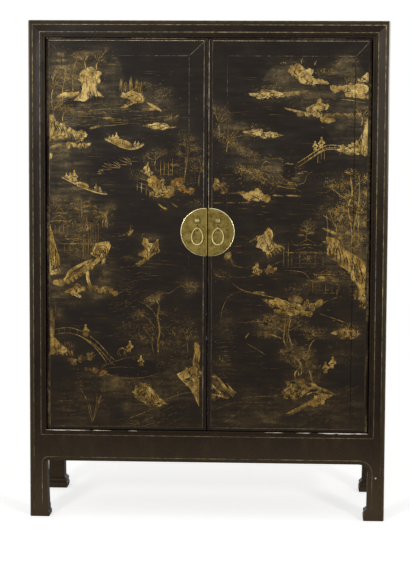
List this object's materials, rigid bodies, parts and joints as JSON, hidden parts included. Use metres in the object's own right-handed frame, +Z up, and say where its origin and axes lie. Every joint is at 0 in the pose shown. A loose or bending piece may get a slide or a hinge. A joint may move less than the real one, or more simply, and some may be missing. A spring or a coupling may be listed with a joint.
{
  "type": "lacquer cabinet",
  "caption": "Tall lacquered wood cabinet with framed pivot doors, moulded mitred frame, hoof feet, inner shelves and a round brass lock plate with hanging pulls.",
  "frame": {"origin": "on the floor under the middle of the whole box, pulls and knuckles included", "axes": "+Z up, +X to the right as seen from the front, -Y towards the viewer: the doors face -Y"},
  "size_m": [1.2, 0.5516, 1.676],
  "materials": {
    "frame_lacquer": "aged brown-black lacquer, satin, worn at the edges",
    "door_lacquer": "aged black lacquer, satin, under gilt landscape decoration",
    "inner_wood": "dark stained softwood, matt",
    "plate_brass": "old brass, dull olive tarnish with a rubbed rim",
    "fitting_brass": "old brass, rubbed bright on its raised parts"
  },
  "bodies": {
    "carcass": {"back_center_stile": "inner_wood", "back_left_post": "frame_lacquer", "back_lower_rail": "inner_wood", "back_right_post": "frame_lacquer", "floor_board": "inner_wood", "front_apron_rail": "frame_lacquer", "front_left_post": "frame_lacquer", "front_right_post": "frame_lacquer", "left_apron_rail": "frame_lacquer", "left_back_panel": "inner_wood", "left_floor_batten": "inner_wood", "left_side_panel": "frame_lacquer", "left_top_brace": "inner_wood", "lower_left_shelf_bearer": "inner_wood", "lower_right_shelf_bearer": "inner_wood", "lower_shelf": "inner_wood", "right_apron_rail": "frame_lacquer", "right_back_panel": "inner_wood", "right_floor_batten": "inner_wood", "right_side_panel": "frame_lacquer", "right_top_brace": "inner_wood", "top_back_rail": "frame_lacquer", "top_front_rail": "frame_lacquer", "top_left_rail": "frame_lacquer", "top_panel": "frame_lacquer", "top_right_rail": "frame_lacquer", "upper_left_shelf_bearer": "inner_wood", "upper_right_shelf_bearer": "inner_wood", "upper_shelf": "inner_wood"},
    "left_door": {"left_door_bottom_rail": "door_lacquer", "left_door_hinge_stile": "door_lacquer", "left_door_lower_batten": "inner_wood", "left_door_meeting_stile": "door_lacquer", "left_door_panel": "door_lacquer", "left_door_top_rail": "door_lacquer", "left_door_upper_batten": "inner_wood", "left_lock_knuckle": "fitting_brass", "left_lock_plate": "plate_brass", "left_plate_nail_1": "fitting_brass", "left_plate_nail_2": "fitting_brass", "left_plate_nail_3": "fitting_brass", "left_pull_eye": "fitting_brass"},
    "left_pull": {"left_pull_ring": "fitting_brass"},
    "right_door": {"right_door_bottom_rail": "door_lacquer", "right_door_hinge_stile": "door_lacquer", "right_door_lower_batten": "inner_wood", "right_door_meeting_stile": "door_lacquer", "right_door_panel": "door_lacquer", "right_door_top_rail": "door_lacquer", "right_door_upper_batten": "inner_wood", "right_lock_knuckle": "fitting_brass", "right_lock_plate": "plate_brass", "right_plate_nail_1": "fitting_brass", "right_plate_nail_2": "fitting_brass", "right_plate_nail_3": "fitting_brass", "right_pull_eye": "fitting_brass"},
    "right_pull": {"right_pull_ring": "fitting_brass"}
  },
  "joints": [
    {"name": "left_door_pivot", "type": "hinge", "parent": "carcass", "child": "left_door", "pos_m": [-0.5265, -0.2432, 0.96], "axis": [0, 0, -1], "range_deg": [0, 95]},
    {"name": "left_pull_swing", "type": "hinge", "parent": "left_door", "child": "left_pull", "pos_m": [-0.0345, -0.2666, 0.988], "axis": [-1, 0, 0], "range_deg": [0, 100]},
    {"name": "right_door_pivot", "type": "hinge", "parent": "carcass", "child": "right_door", "pos_m": [0.5265, -0.2432, 0.96], "axis": [0, 0, 1], "range_deg": [0, 95]},
    {"name": "right_pull_swing", "type": "hinge", "parent": "right_door", "child": "right_pull", "pos_m": [0.0345, -0.2666, 0.988], "axis": [-1, 0, 0], "range_deg": [0, 100]}
  ]
}
